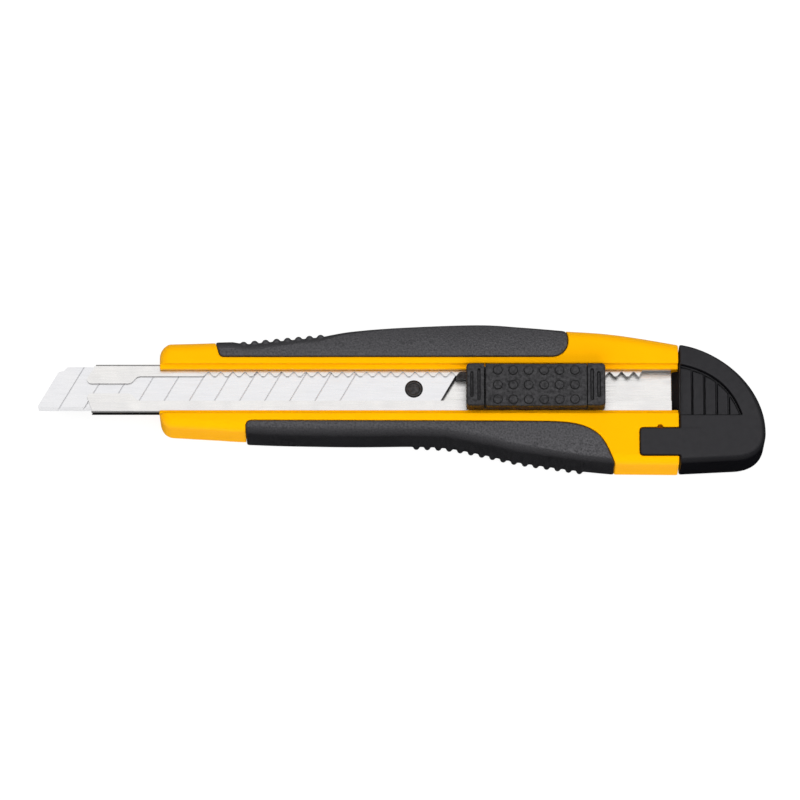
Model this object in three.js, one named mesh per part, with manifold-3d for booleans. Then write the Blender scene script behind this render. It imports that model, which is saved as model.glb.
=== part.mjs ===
// A 9 mm snap-off knife with a slider lock, soft grips and a pull-off end cap.
//
// Millimetres. X runs along the knife, with the blade's tip at -X and the end cap at +X.
// Z is up, away from the flat back that the knife lies on. The edge of the blade faces -Y.
// All the heights and outlines below are measured from the middle of the slider track, and
// the last lines move the whole knife so that its origin is the middle of its footprint.

import * as THREE from 'three';
import { mergeVertices } from 'three/addons/utils/BufferGeometryUtils.js';
import Module from 'manifold-3d';

const wasm = await Module();
wasm.setup();

// Whole knife
const NOSE_X = -48.1;               // front of the handle
const NOSE_SHOULDER_X = -46;        // where the nose's upper corner starts
const BODY_END_X = 55.1;            // where the body stops and the end cap starts
const CAP_END_X = 72.35;
const END_TRIM = 4;                 // outlines run on this far and are then cut off square
const BODY_EDGE = 1.4;              // rounding of the rims
const GRIP_EDGE = 1.4;
const CAP_EDGE = 1.3;
const THICKNESS = 11;               // handle, back to front face
const FOOTPRINT_MIDDLE_Y = -1.08;   // middle of the outline, seen from the track's middle
const GAP = 0.1;                    // between two pieces that are fixed together
const RUNNING_GAP = 0.2;            // between two pieces that slide on each other

// Slider track and its ledges, in the handle
const TRACK_WIDTH = 10.1;
const LEDGE_Z = 9.65;
const LEDGE_THICKNESS = 1.3;
const LEDGE_OPENING = 8.5;

// Blade sleeve: a steel channel with its lips folded over the blade
const SLEEVE_Y = 0.6;
const SLEEVE_WIDTH = 9.9;
const SLEEVE_Z = 5.8;
const SLEEVE_HEIGHT = 2.4;
const SHEET = 0.35;
const SLEEVE_FRONT_X = -62.6;
const SLEEVE_END_X = 53.8;
const SLEEVE_BEND = 0.6;
const LIP_OPENING_TOP_Y = 3.1;      // edges of the opening between the two lips
const LIP_OPENING_LOW_Y = -1.95;
const NOSE_OPENING_TOP_Y = 1.6;     // the lips are wider ahead of the handle
const NOSE_OPENING_LOW_Y = -0.45;
const NOSE_OPENING_END_X = -54.6;
const OPENING_START_X = -51.8;
const LIP_END_X = 47.4;             // behind this the upper lip is cut back under the ledge
const LIP_CUT_BACK_Y = 4.35;

// Lock notches in the upper lip
const NOTCH_COUNT = 36;
const NOTCH_PITCH = 2.42;
const NOTCH_FIRST_X = -38.4;
const NOTCH_DEPTH = 0.95;

// Blade
const BLADE_WIDTH = 9;
const BLADE_THICKNESS = 0.38;
const BLADE_Z = 7.3;
const BLADE_TIP_X = -72.35;
const TIP_BLUNT = 1;                // the point is worn away this far up from the edge
const SEGMENT_PITCH = 5;
const SCORE_COUNT = 12;
const FIRST_SCORE_X = -68.38;
const SCORE_ANGLE = Math.PI / 3;
const SCORE_DEPTH = 0.09;
const BEVEL_WIDTH = 0.75;
const BLADE_TAIL_X = 6.6;           // tail corner on the edge side
const BOSS_X = 2.5;
const BOSS_RADIUS = 1.7;

// Slider, carrier and lock
const SLIDER_FRONT_X = 12.9;
const SLIDER_LENGTH = 27.6;
const SLIDER_WIDTH = 8.7;
const SLIDER_TOP_Z = 13.7;
const SLIDER_FLOOR_Z = 11.2;
const FRONT_BLOCK_LENGTH = 3.55;
const REAR_BLOCK_LENGTH = 3.55;
const PAD_TRAVEL = 0.2;
const STUD_RADIUS = 0.9;
const STUD_PITCH_X = 3.06;
const STUD_PITCH_Y = 3.0;
const STUD_HEIGHT = 0.35;
const BLOCK_GROOVE_DEPTH = 0.6;
const BLOCK_GROOVE_WIDTH = 0.45;
const BLOCK_WIDE_GROOVE_WIDTH = 0.65;
const LOCK_NOTCH = 21;              // the notch that the lock nose stands in
const LOCK_NOSE_X = NOTCH_FIRST_X + LOCK_NOTCH * NOTCH_PITCH;
const LOCK_Z = 6.4;
const LOCK_HEIGHT = 1.25;
const LOCK_WING_Z = 8.4;            // the nose's wing passes over the lip
const LOCK_WING_HEIGHT = 0.5;

// Grips
const GRIP_SKIN = 1.8;              // thickness over the body's shoulder
const GRIP_PROUD = 0.12;            // how far the soft faces stand above the hard ones
const RIB_RADIUS = 0.55;
const RIB_INSET_Z = 1.7;            // the ribs stop this far from both faces
const UPPER_RIB_COUNT = 8;
const LOWER_RIB_COUNT = 16;
const LOWER_RIB_SHARE = 0.825;      // share of the lower edge that has ribs

// Lower edge of the lower grip, along its ribbed stretch and on to its rear end
const LOWER_EDGE = [[3, -9.62], [9.5, -10], [16.1, -11.25], [22.7, -12.75], [29.1, -13.75],
  [36, -14.7], [42.5, -15.35]];

// End cap tab, spigot and finger recess
const TAB_FRONT_X = 47.35;
const TAB_TOP_Y = -8.16;
const TAB_LOW_Y = -13.8;
const TAB_THICKNESS = 1.4;
const TAB_CORNER = 0.7;
const DETENT_X = 51.4;
const DETENT_RADIUS = 0.55;
const DETENT_DEPTH = 2.4;
const SPIGOT_FRONT_X = 49.5;
const SPIGOT_Y = 0.6;
const SPIGOT_WIDTH = 7.6;
const SPIGOT_Z = 1.95;
const SPIGOT_HEIGHT = 3;
const STOP_HALF_WIDTH = 4;          // the cap's stop behind the sleeve
const STOP_HEIGHT = 1;
const RECESS_DEPTH = 1.6;
const RECESS_RIM = 0.25;            // from the cap's front end to the recess
const RECESS_LOW_Y = -5.5;
const RECESS_RIB_COUNT = 5;
const RECESS_RIB_PITCH = 2.42;
const RECESS_RIB_GAP = 0.3;
const RECESS_RIB_DROP = 0.65;       // tops of the ribs below the face

const FINISH = {
  body: { color: 0xffc10a, roughness: 0.42, metalness: 0 },
  grip: { color: 0x3a393c, roughness: 0.75, metalness: 0 },
  cap: { color: 0x38373a, roughness: 0.5, metalness: 0 },
  slider: { color: 0x2b2a2c, roughness: 0.45, metalness: 0 },
  steel: { color: 0xdcdcdc, roughness: 0.28, metalness: 1 },
  blade: { color: 0xe8e8ea, roughness: 0.32, metalness: 1 },
};

// ---------- helpers ----------

// A closed three.js geometry as a manifold solid.
function solid(geometry) {
  geometry.deleteAttribute('normal');
  geometry.deleteAttribute('uv');
  const merged = mergeVertices(geometry, 1e-4);
  return new wasm.Manifold(new wasm.Mesh({
    numProp: 3,
    vertProperties: new Float32Array(merged.attributes.position.array),
    triVerts: new Uint32Array(merged.index.array),
  }));
}

// A named mesh from a manifold solid.
function piece(name, manifold, finish) {
  const mesh = manifold.getMesh();
  const geometry = new THREE.BufferGeometry();
  geometry.setAttribute('position', new THREE.BufferAttribute(mesh.vertProperties, 3));
  geometry.setIndex(new THREE.BufferAttribute(mesh.triVerts, 1));
  geometry.computeVertexNormals();
  const result = new THREE.Mesh(geometry, new THREE.MeshStandardMaterial(finish));
  result.name = name;
  return result;
}

function box(x0, x1, y0, y1, z0, z1) {
  const geometry = new THREE.BoxGeometry(x1 - x0, y1 - y0, z1 - z0);
  geometry.translate((x0 + x1) / 2, (y0 + y1) / 2, (z0 + z1) / 2);
  return solid(geometry);
}

// An outline in X and Y made into a solid between two heights, with its rims rounded by edge.
function prism(shape, z0, z1, edge = 0, steps = 3, curveSegments = 4) {
  const geometry = new THREE.ExtrudeGeometry(shape, {
    depth: z1 - z0 - 2 * edge,
    bevelEnabled: edge > 0,
    bevelThickness: edge,
    bevelSize: edge,
    bevelOffset: -edge,
    bevelSegments: steps,
    curveSegments,
  });
  geometry.translate(0, 0, z0 + edge);
  return solid(geometry);
}

// A disc or pin that stands along Z.
function upright(x, y, z0, z1, radius, sides = 16) {
  const geometry = new THREE.CylinderGeometry(radius, radius, z1 - z0, sides);
  geometry.rotateX(Math.PI / 2);
  geometry.translate(x, y, (z0 + z1) / 2);
  return solid(geometry);
}

function points(list) {
  return list.map(([x, y]) => new THREE.Vector2(x, y));
}

function polygon(list) {
  return new THREE.Shape(points(list));
}

// A rectangle with round corners.
function roundedRectangle(x0, x1, y0, y1, radius) {
  const shape = new THREE.Shape();
  shape.moveTo(x0 + radius, y0);
  shape.lineTo(x1 - radius, y0);
  shape.absarc(x1 - radius, y0 + radius, radius, -Math.PI / 2, 0);
  shape.lineTo(x1, y1 - radius);
  shape.absarc(x1 - radius, y1 - radius, radius, 0, Math.PI / 2);
  shape.lineTo(x0 + radius, y1);
  shape.absarc(x0 + radius, y1 - radius, radius, Math.PI / 2, Math.PI);
  shape.lineTo(x0, y0 + radius);
  shape.absarc(x0 + radius, y0 + radius, radius, Math.PI, Math.PI * 1.5);
  return shape;
}

// ---------- outlines of the handle ----------

// The hard body: a blunt nose, a waist at the grips and a wide rear end.
function bodyOutline() {
  const lowerSide = [[-36.8, -8.4], [-29, -8.8], [-5, -9.2], [12, -10.4], [30, -13.9], [42, -15.4]];
  const upperSide = [[43.1, 11.2], [33, 12], [15, 12.7], [0, 12.2], [-15, 10.8], [-35, 9.7],
    [NOSE_SHOULDER_X, 9.35]];
  const shape = new THREE.Shape();
  shape.moveTo(NOSE_X, -4.5);
  shape.bezierCurveTo(NOSE_X, -6.3, -47.2, -7.8, -45.4, -7.9);
  shape.splineThru(points(lowerSide));
  shape.lineTo(BODY_END_X + END_TRIM, -15.55);
  shape.lineTo(BODY_END_X + END_TRIM, 8.3);
  shape.lineTo(BODY_END_X, 9.2);
  shape.splineThru(points(upperSide));
  shape.bezierCurveTo(-47, 9.2, NOSE_X, 8, NOSE_X, 6.6);
  return shape;
}

// The outer silhouette of each soft grip, closed well inside the handle.
function upperGripSilhouette() {
  const shape = new THREE.Shape();
  shape.moveTo(-42, 2);
  shape.lineTo(40, 2);
  shape.lineTo(40, 11.4);
  shape.lineTo(34, 12);
  shape.splineThru(points([[24, 12.85], [15, 13.35], [0, 12.8], [-9.4, 12.05], [-14, 11.3]]));
  shape.lineTo(-16, 10.85);
  shape.lineTo(-31, 9.4);
  shape.lineTo(-33.6, 9.85);
  shape.lineTo(-42, 9.65);
  return shape;
}

function lowerGripSilhouette() {
  const shape = new THREE.Shape();
  shape.moveTo(-36, -3);
  shape.lineTo(-36, -9);
  shape.lineTo(-29.7, -9.25);
  shape.splineThru(points([[-22.5, -9.5], [-9.4, -9.7], ...LOWER_EDGE]));
  shape.lineTo(50, -15.6);
  shape.lineTo(50, -3);
  return shape;
}

// The area of the face that each grip covers. It runs out past the silhouette.
function upperGripArea(gap) {
  const shape = new THREE.Shape();
  shape.moveTo(-38.7 - gap, 16);
  shape.lineTo(-36.35 - gap, 7.3);
  shape.quadraticCurveTo(-36.1 - gap, 6.4 - gap, -35.3, 6.4 - gap);
  shape.lineTo(29.8, 6.4 - gap);
  shape.bezierCurveTo(32 + gap, 6.4 - gap, 33.2 + gap, 8, 33.2 + gap, 9.8);
  shape.bezierCurveTo(33.2 + gap, 11, 32.8 + gap, 12, 32.2 + gap, 12.6);
  shape.lineTo(32.2 + gap, 16);
  return shape;
}

function lowerGripArea(gap) {
  const shape = new THREE.Shape();
  shape.moveTo(-30.2 - gap, -18);
  shape.lineTo(-30.9 - gap, -7.9);
  shape.quadraticCurveTo(-30.9 - gap, -6.65 + gap, -29.7, -6.65 + gap);
  shape.lineTo(21.6, -6.8 + gap);
  shape.bezierCurveTo(31 + gap, -6.9 + gap, 35 + gap, -6.6 + gap, 38.4 + gap, -8.9 + gap);
  shape.bezierCurveTo(40.6 + gap, -10.4 + gap, 41.2 + gap, -13, 42.4 + gap, -15.2);
  shape.lineTo(43.2 + gap, -18);
  return shape;
}

// The body's shoulder that each soft grip wraps round, thinner by the grip's skin on three sides.
function upperShoulder(gap) {
  const edge = [[15, 11.5], [0, 10.9], [-15, 9.2], [-36, 7.8]];
  const shape = new THREE.Shape();
  shape.moveTo(-36, 6);
  shape.lineTo(33, 6);
  shape.lineTo(33, 10.1 + gap);
  shape.splineThru(points(edge.map(([x, y]) => [x, y + gap])));
  return prism(shape, GRIP_SKIN - gap, THICKNESS - GRIP_SKIN + gap);
}

function lowerShoulder(gap) {
  const edge = [[-9.4, -7.8], [1.3, -7.8], [16.1, -9.4], [32, -12.2], [41, -13.2]];
  const shape = new THREE.Shape();
  shape.moveTo(-30.5, -6);
  shape.lineTo(-30.5, -7.5 - gap);
  shape.splineThru(points(edge.map(([x, y]) => [x, y - gap])));
  shape.lineTo(41, -6);
  return prism(shape, GRIP_SKIN - gap, THICKNESS - GRIP_SKIN + gap);
}

// ---------- handle ----------

function handleBody() {
  const track = TRACK_WIDTH / 2;
  const opening = LEDGE_OPENING / 2;
  const pocket = SLEEVE_WIDTH / 2 + GAP;
  const through = 1;
  const side = 20;
  const front = NOSE_X - through;
  const rear = BODY_END_X + through;
  const top = THICKNESS + through;
  const pocketTop = LEDGE_Z - LEDGE_THICKNESS;
  let body = prism(bodyOutline(), 0, THICKNESS, BODY_EDGE);
  body = body.subtract(box(BODY_END_X, rear + END_TRIM, -side, side, -through, top));
  body = body.subtract(prism(upperGripArea(GAP), -through, top));
  body = body.subtract(prism(lowerGripArea(GAP), -through, top));
  body = body.add(upperShoulder(0)).add(lowerShoulder(0));
  body = body.subtract(box(front, rear, -track, track, LEDGE_Z, top));
  body = body.subtract(box(front, rear, -opening, opening, pocketTop, top));
  body = body.subtract(box(front, rear, SLEEVE_Y - pocket, SLEEVE_Y + pocket,
    SLEEVE_Z - GAP, pocketTop + GAP / 2));
  const tab = roundedRectangle(TAB_FRONT_X - GAP, rear, TAB_LOW_Y - GAP, TAB_TOP_Y + GAP,
    TAB_CORNER + GAP);
  body = body.subtract(prism(tab, THICKNESS - TAB_THICKNESS - GAP, top));
  body = body.subtract(upright(DETENT_X, TAB_TOP_Y, THICKNESS - DETENT_DEPTH, top, DETENT_RADIUS));
  const socket = box(SPIGOT_FRONT_X - GAP, rear, SPIGOT_Y - SPIGOT_WIDTH / 2 - GAP,
    SPIGOT_Y + SPIGOT_WIDTH / 2 + GAP, SPIGOT_Z - GAP, SPIGOT_Z + SPIGOT_HEIGHT + GAP);
  return piece('handle_body', body.subtract(socket), FINISH.body);
}

// Upright ribs along the edge of a grip, from one place to another.
function ribs(count, placeOf) {
  const all = [];
  for (let i = 0; i < count; i += 1) {
    const [x, y] = placeOf(i / (count - 1));
    all.push(upright(x, y, RIB_INSET_Z, THICKNESS - RIB_INSET_Z, RIB_RADIUS, 8));
  }
  return all;
}

function upperGrip() {
  const silhouette = prism(upperGripSilhouette(), 0, THICKNESS + GRIP_PROUD, GRIP_EDGE);
  let grip = silhouette.intersect(prism(upperGripArea(0), -1, THICKNESS + 1));
  grip = grip.subtract(upperShoulder(GAP));
  const placeOf = (t) => [-31.4 + t * 15.3, 9.3 + t * 1.48];
  for (const rib of ribs(UPPER_RIB_COUNT, placeOf)) {
    grip = grip.add(rib);
  }
  return piece('upper_grip', grip, FINISH.grip);
}

function lowerGrip() {
  const silhouette = prism(lowerGripSilhouette(), 0, THICKNESS + GRIP_PROUD, GRIP_EDGE);
  let grip = silhouette.intersect(prism(lowerGripArea(0), -1, THICKNESS + 1));
  grip = grip.subtract(lowerShoulder(GAP));
  const edge = new THREE.SplineCurve(points(LOWER_EDGE));
  const placeOf = (t) => {
    const place = edge.getPointAt(t * LOWER_RIB_SHARE);
    return [place.x, place.y + 0.1];
  };
  for (const rib of ribs(LOWER_RIB_COUNT, placeOf)) {
    grip = grip.add(rib);
  }
  return piece('lower_grip', grip, FINISH.grip);
}

// ---------- sleeve and blade ----------

// A round-cornered bar along X with the sleeve's section, smaller by inset and longer by extra.
function sleeveBar(inset, radius, extra) {
  const half = SLEEVE_WIDTH / 2 - inset;
  const top = SLEEVE_Z + SLEEVE_HEIGHT - inset;
  const profile = roundedRectangle(-half, half, SLEEVE_Z + inset, top, radius);
  const depth = SLEEVE_END_X - SLEEVE_FRONT_X + 2 * extra;
  const geometry = new THREE.ExtrudeGeometry(profile, { depth, bevelEnabled: false, curveSegments: 3 });
  geometry.rotateX(Math.PI / 2);
  geometry.rotateZ(Math.PI / 2);
  geometry.translate(SLEEVE_FRONT_X - extra, SLEEVE_Y, 0);
  return solid(geometry);
}

// The opening between the two lips, narrower ahead of the handle.
function lipOpening() {
  const front = SLEEVE_FRONT_X;
  const rear = SLEEVE_END_X + 1;
  const bend = [-53, -53.4];
  const corner = 0.4;
  const shape = new THREE.Shape();
  shape.moveTo(front - 1, NOSE_OPENING_LOW_Y);
  shape.lineTo(NOSE_OPENING_END_X, NOSE_OPENING_LOW_Y);
  shape.bezierCurveTo(bend[0], NOSE_OPENING_LOW_Y, bend[1], LIP_OPENING_LOW_Y,
    OPENING_START_X, LIP_OPENING_LOW_Y);
  shape.lineTo(rear, LIP_OPENING_LOW_Y);
  shape.lineTo(rear, LIP_CUT_BACK_Y);
  shape.lineTo(LIP_END_X + 0.6, LIP_CUT_BACK_Y);
  shape.lineTo(LIP_END_X, LIP_OPENING_TOP_Y);
  shape.lineTo(OPENING_START_X, LIP_OPENING_TOP_Y);
  shape.bezierCurveTo(bend[1], LIP_OPENING_TOP_Y, bend[0], NOSE_OPENING_TOP_Y,
    NOSE_OPENING_END_X, NOSE_OPENING_TOP_Y);
  shape.lineTo(front + corner, NOSE_OPENING_TOP_Y);
  shape.lineTo(front, NOSE_OPENING_TOP_Y + corner);
  shape.lineTo(front - 1, NOSE_OPENING_TOP_Y + corner);
  return shape;
}

// A channel with its lips folded over the blade, notched along the upper lip and cut on a slant
// at its front end on both sides of the opening.
function bladeSleeve() {
  const top = SLEEVE_Z + SLEEVE_HEIGHT;
  const front = SLEEVE_FRONT_X;
  let sleeve = sleeveBar(0, SLEEVE_BEND, 0).subtract(sleeveBar(SHEET, SLEEVE_BEND - SHEET, 1));
  sleeve = sleeve.subtract(prism(lipOpening(), top - 1, top + 1));
  const overlap = 0.3;
  for (let i = 0; i < NOTCH_COUNT; i += 1) {
    const x = NOTCH_FIRST_X + i * NOTCH_PITCH;
    const notch = polygon([
      [x - NOTCH_DEPTH - overlap, LIP_OPENING_TOP_Y - overlap],
      [x + NOTCH_DEPTH + overlap, LIP_OPENING_TOP_Y - overlap],
      [x, LIP_OPENING_TOP_Y + NOTCH_DEPTH],
    ]);
    sleeve = sleeve.subtract(prism(notch, top - 1, top + 1));
  }
  const upperSlant = polygon([[front - 1, 8], [front - 1, 2], [front, 2], [front + 2, 5.7],
    [front + 2, 8]]);
  const lowerSlant = polygon([[front - 1, -0.9], [front - 1, -6], [front + 1.3, -6], [front + 1.1, -4],
    [front, -0.9]]);
  sleeve = sleeve.subtract(prism(upperSlant, SLEEVE_Z - 1, top + 1));
  sleeve = sleeve.subtract(prism(lowerSlant, SLEEVE_Z - 1, top + 1));
  return piece('blade_sleeve', sleeve, FINISH.steel);
}

// Distance along X that a slanted score line covers over a height in Y.
function slant(height) {
  return height / Math.tan(SCORE_ANGLE);
}

// One of the two ground bevels, taken off along the edge. side is 1 for the face and -1 for the back.
function bevelCutter(side, low) {
  const half = BLADE_THICKNESS / 2;
  const beyond = 0.5;
  const profile = polygon([[-1, 0], [BEVEL_WIDTH, side * half], [BEVEL_WIDTH, side * (half + beyond)],
    [-1, side * (half + beyond)]]);
  const length = BLADE_TAIL_X - BLADE_TIP_X + 4;
  const geometry = new THREE.ExtrudeGeometry(profile, { depth: length, bevelEnabled: false });
  geometry.rotateX(Math.PI / 2);
  geometry.rotateZ(Math.PI / 2);
  geometry.translate(BLADE_TIP_X - 2, low, BLADE_Z + half);
  return solid(geometry);
}

// One strip with slanted score lines across its face, with a worn point and a broken front corner.
function blade() {
  const low = SLEEVE_Y - BLADE_WIDTH / 2;
  const high = SLEEVE_Y + BLADE_WIDTH / 2;
  const top = BLADE_Z + BLADE_THICKNESS;
  const frontAt = (y) => BLADE_TIP_X + slant(y - low - TIP_BLUNT);
  const outline = polygon([
    [BLADE_TIP_X + 0.25, low],
    [BLADE_TAIL_X, low],
    [BLADE_TAIL_X + slant(BLADE_WIDTH), high],
    [frontAt(high) + 1.2, high],
    [frontAt(high) + 0.5, high - 0.75],
    [frontAt(high - 1), high - 1],
    [BLADE_TIP_X, low + TIP_BLUNT],
  ]);
  let strip = prism(outline, BLADE_Z, top);
  strip = strip.subtract(upright(BOSS_X, SLEEVE_Y, BLADE_Z - 1, top + 1, BOSS_RADIUS + GAP, 24));
  const half = 0.08;
  const beyond = 1;
  for (let i = 0; i < SCORE_COUNT; i += 1) {
    const x = FIRST_SCORE_X + i * SEGMENT_PITCH;
    const lower = x - slant(beyond);
    const upper = x + slant(BLADE_WIDTH + beyond);
    const groove = polygon([[lower - half, low - beyond], [lower + half, low - beyond],
      [upper + half, high + beyond], [upper - half, high + beyond]]);
    strip = strip.subtract(prism(groove, top - SCORE_DEPTH, top + 1));
  }
  strip = strip.subtract(bevelCutter(1, low)).subtract(bevelCutter(-1, low));
  return piece('blade', strip, FINISH.blade);
}

// ---------- slider ----------

// A thin plate under the blade's tail with the boss, an arm hidden by the lower lip, a block that
// fills the sleeve under the slider, and a neck that rises between the lips.
function bladeCarrier() {
  const low = SLEEVE_Y - 3.9;
  const high = SLEEVE_Y + 3.9;
  const plateTop = BLADE_Z - 0.06;
  const plateFloor = SLEEVE_Z + SHEET + 0.08;
  const lipUnderside = SLEEVE_Z + SLEEVE_HEIGHT - SHEET;
  const blockEnd = SLIDER_FRONT_X + SLIDER_LENGTH - 2;
  const plateFront = BOSS_X - 3.4;
  const plate = polygon([
    [plateFront, low],
    [BLADE_TAIL_X + 0.12 + slant(0.6), low],
    [BLADE_TAIL_X + 0.45 + slant(8.4), high],
    [plateFront + slant(4), high],
  ]);
  let carrier = prism(plate, plateFloor, plateTop);
  carrier = carrier.add(upright(BOSS_X, SLEEVE_Y, plateFloor, lipUnderside - 0.1, BOSS_RADIUS, 24));
  carrier = carrier.subtract(upright(BOSS_X, SLEEVE_Y, lipUnderside - 0.35, lipUnderside, 0.7, 16));
  carrier = carrier.add(box(BOSS_X, SLIDER_FRONT_X + 1, low, LIP_OPENING_LOW_Y - GAP,
    plateFloor, plateTop));
  const blockTop = lipUnderside - 0.1;
  carrier = carrier.add(box(SLIDER_FRONT_X + 0.4, blockEnd, low, high, plateFloor, blockTop));
  const neck = roundedRectangle(SLIDER_FRONT_X + 1.4, blockEnd - 0.8, LIP_OPENING_LOW_Y + RUNNING_GAP,
    LIP_OPENING_TOP_Y - RUNNING_GAP, 0.6);
  carrier = carrier.add(prism(neck, blockTop - 0.5, LEDGE_Z + RUNNING_GAP));
  // The slot for the lock's leaf, open to the front for the nose and closed at the back.
  const slot = box(SLIDER_FRONT_X - 1, blockEnd - 3.9, 1.9, 4.05, LOCK_Z - 0.1, blockTop + 1);
  const root = box(blockEnd - 4, blockEnd - 1.9, 3.2, 3.7, LOCK_Z - 0.1, blockTop + 1);
  return piece('blade_carrier', carrier.subtract(slot).subtract(root), FINISH.slider);
}

function sliderBase() {
  const front = SLIDER_FRONT_X;
  const rear = front + SLIDER_LENGTH;
  const half = SLIDER_WIDTH / 2;
  const floor = LEDGE_Z + RUNNING_GAP + 0.02;
  let base = prism(roundedRectangle(front, rear, -half, half, 0.7), floor, SLIDER_TOP_Z, 0.3, 1);
  const seatFront = front + FRONT_BLOCK_LENGTH;
  const seatRear = rear - REAR_BLOCK_LENGTH;
  base = base.subtract(box(seatFront, seatRear, -half - 1, half + 1, SLIDER_FLOOR_Z, SLIDER_TOP_Z + 1));
  // Two grooves across each end block, the outer one shorter.
  const groove = (x, halfLength, width) => prism(
    roundedRectangle(x - width / 2, x + width / 2, -halfLength, halfLength, width * 0.45),
    SLIDER_TOP_Z - BLOCK_GROOVE_DEPTH, SLIDER_TOP_Z + 1);
  base = base.subtract(groove(front + 1.1, 2.6, BLOCK_GROOVE_WIDTH));
  base = base.subtract(groove(front + 2.5, 3.2, BLOCK_GROOVE_WIDTH));
  base = base.subtract(groove(rear - 2.65, 3.2, BLOCK_WIDE_GROOVE_WIDTH));
  base = base.subtract(groove(rear - 1.3, 2.6, BLOCK_WIDE_GROOVE_WIDTH));
  return piece('slider_base', base, FINISH.slider);
}

function sliderPad() {
  const front = SLIDER_FRONT_X + FRONT_BLOCK_LENGTH + PAD_TRAVEL + 0.06;
  const rear = SLIDER_FRONT_X + SLIDER_LENGTH - REAR_BLOCK_LENGTH - 0.06;
  const half = SLIDER_WIDTH / 2 - 0.05;
  const top = SLIDER_TOP_Z - 0.25;
  let pad = prism(roundedRectangle(front, rear, -half, half, 0.3), SLIDER_FLOOR_Z + 0.06, top, 0.15, 1);
  const middle = (front + rear) / 2;
  for (let column = 0; column < 6; column += 1) {
    for (let row = -1; row <= 1; row += 1) {
      const x = middle + (column - 2.5) * STUD_PITCH_X;
      pad = pad.add(upright(x, row * STUD_PITCH_Y - 0.05, top - 0.4, top + STUD_HEIGHT, STUD_RADIUS, 12));
    }
  }
  return piece('slider_pad', pad, FINISH.slider);
}

// The nose points at a notch of the upper lip from just under the sheet. Its wing passes over the
// lip, and a post between the lips joins the two.
function lockNose() {
  const tip = LIP_OPENING_TOP_Y + NOTCH_DEPTH - 0.15;
  const front = LOCK_NOSE_X - 1.5;
  const shoulder = LOCK_NOSE_X + 0.7;
  const heel = LOCK_NOSE_X + 1.6;
  const low = 2.5;
  const heelLow = 2.85;
  const high = LIP_OPENING_TOP_Y - RUNNING_GAP;
  const wingTop = LOCK_WING_Z + LOCK_WING_HEIGHT;
  const outline = polygon([[front, low], [shoulder, low], [shoulder, heelLow], [heel, heelLow],
    [heel, 3.3], [LOCK_NOSE_X + 0.5, tip], [LOCK_NOSE_X - 0.5, tip], [front, heelLow]]);
  const wing = polygon([[front, low], [shoulder, low], [shoulder, tip - 0.05],
    [front + 0.7, tip - 0.05], [front, high + 0.1]]);
  let nose = prism(outline, LOCK_Z, LOCK_Z + LOCK_HEIGHT);
  nose = nose.add(box(front, shoulder, low, high, LOCK_Z, wingTop));
  nose = nose.add(prism(wing, LOCK_WING_Z, wingTop));
  return piece('lock_nose', nose, FINISH.slider);
}

function lockSpring() {
  const leaf = box(LOCK_NOSE_X + 1.6 + GAP / 2, SLIDER_FRONT_X + SLIDER_LENGTH - 6.5, 3.35, 3.6,
    LOCK_Z + GAP, LOCK_Z + LOCK_HEIGHT - GAP);
  return piece('lock_spring', leaf, FINISH.steel);
}

// ---------- end cap ----------

// The quarter-round area of the finger recess, smaller by inset along its curve.
function recessArea(inset) {
  const start = BODY_END_X + RUNNING_GAP + RECESS_RIM;
  const shape = new THREE.Shape();
  shape.moveTo(start, RECESS_LOW_Y);
  shape.lineTo(67.7 - inset, RECESS_LOW_Y);
  shape.bezierCurveTo(65.8 - inset, 0.2, 62 - inset, 3.6 - inset, start, 5 - inset);
  return shape;
}

function endCap() {
  const front = BODY_END_X + RUNNING_GAP;
  const side = 20;
  const shape = new THREE.Shape();
  shape.moveTo(front - END_TRIM, -15.6);
  shape.lineTo(66.2, -14.8);
  shape.bezierCurveTo(70, -14.6, CAP_END_X, -12.6, CAP_END_X, -9);
  shape.bezierCurveTo(CAP_END_X, 0.5, 63.5, 8, front, 9.15);
  shape.lineTo(front - END_TRIM, 9.8);
  let cap = prism(shape, 0, THICKNESS, CAP_EDGE, 4, 10);
  cap = cap.subtract(box(front - END_TRIM - 1, front, -side, side, -1, THICKNESS + 1));
  const tab = roundedRectangle(TAB_FRONT_X, front + 3, TAB_LOW_Y, TAB_TOP_Y, TAB_CORNER);
  cap = cap.add(prism(tab, THICKNESS - TAB_THICKNESS, THICKNESS));
  cap = cap.subtract(prism(recessArea(0), THICKNESS - RECESS_DEPTH, THICKNESS + 1, 0, 1, 10));
  const ribs = prism(recessArea(0.5), THICKNESS - RECESS_DEPTH - 0.2, THICKNESS - RECESS_RIB_DROP,
    0, 1, 10);
  for (let i = 0; i < RECESS_RIB_COUNT; i += 1) {
    const x0 = front + RECESS_RIM + i * RECESS_RIB_PITCH;
    const slice = box(x0, x0 + RECESS_RIB_PITCH - RECESS_RIB_GAP, -side, side, 0, THICKNESS);
    cap = cap.add(ribs.intersect(slice));
  }
  // The spigot goes into the body's socket, and the stop stands behind the sleeve.
  cap = cap.add(box(SPIGOT_FRONT_X + GAP, front + 2, SPIGOT_Y - SPIGOT_WIDTH / 2,
    SPIGOT_Y + SPIGOT_WIDTH / 2, SPIGOT_Z, SPIGOT_Z + SPIGOT_HEIGHT));
  cap = cap.add(box(SLEEVE_END_X + RUNNING_GAP, front + 2, -STOP_HALF_WIDTH, STOP_HALF_WIDTH,
    SLEEVE_Z + GAP, SLEEVE_Z + GAP + STOP_HEIGHT));
  return piece('end_cap', cap, FINISH.cap);
}

// ---------- assembly ----------

const knife = new THREE.Group();
const parts = [
  handleBody(), upperGrip(), lowerGrip(), bladeSleeve(), blade(), bladeCarrier(),
  sliderBase(), sliderPad(), lockNose(), lockSpring(), endCap(),
];
for (const part of parts) {
  knife.add(part);
}
knife.position.y = -FOOTPRINT_MIDDLE_Y;

const group = new THREE.Group();
group.add(knife);
export default group;
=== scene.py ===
import math

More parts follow.
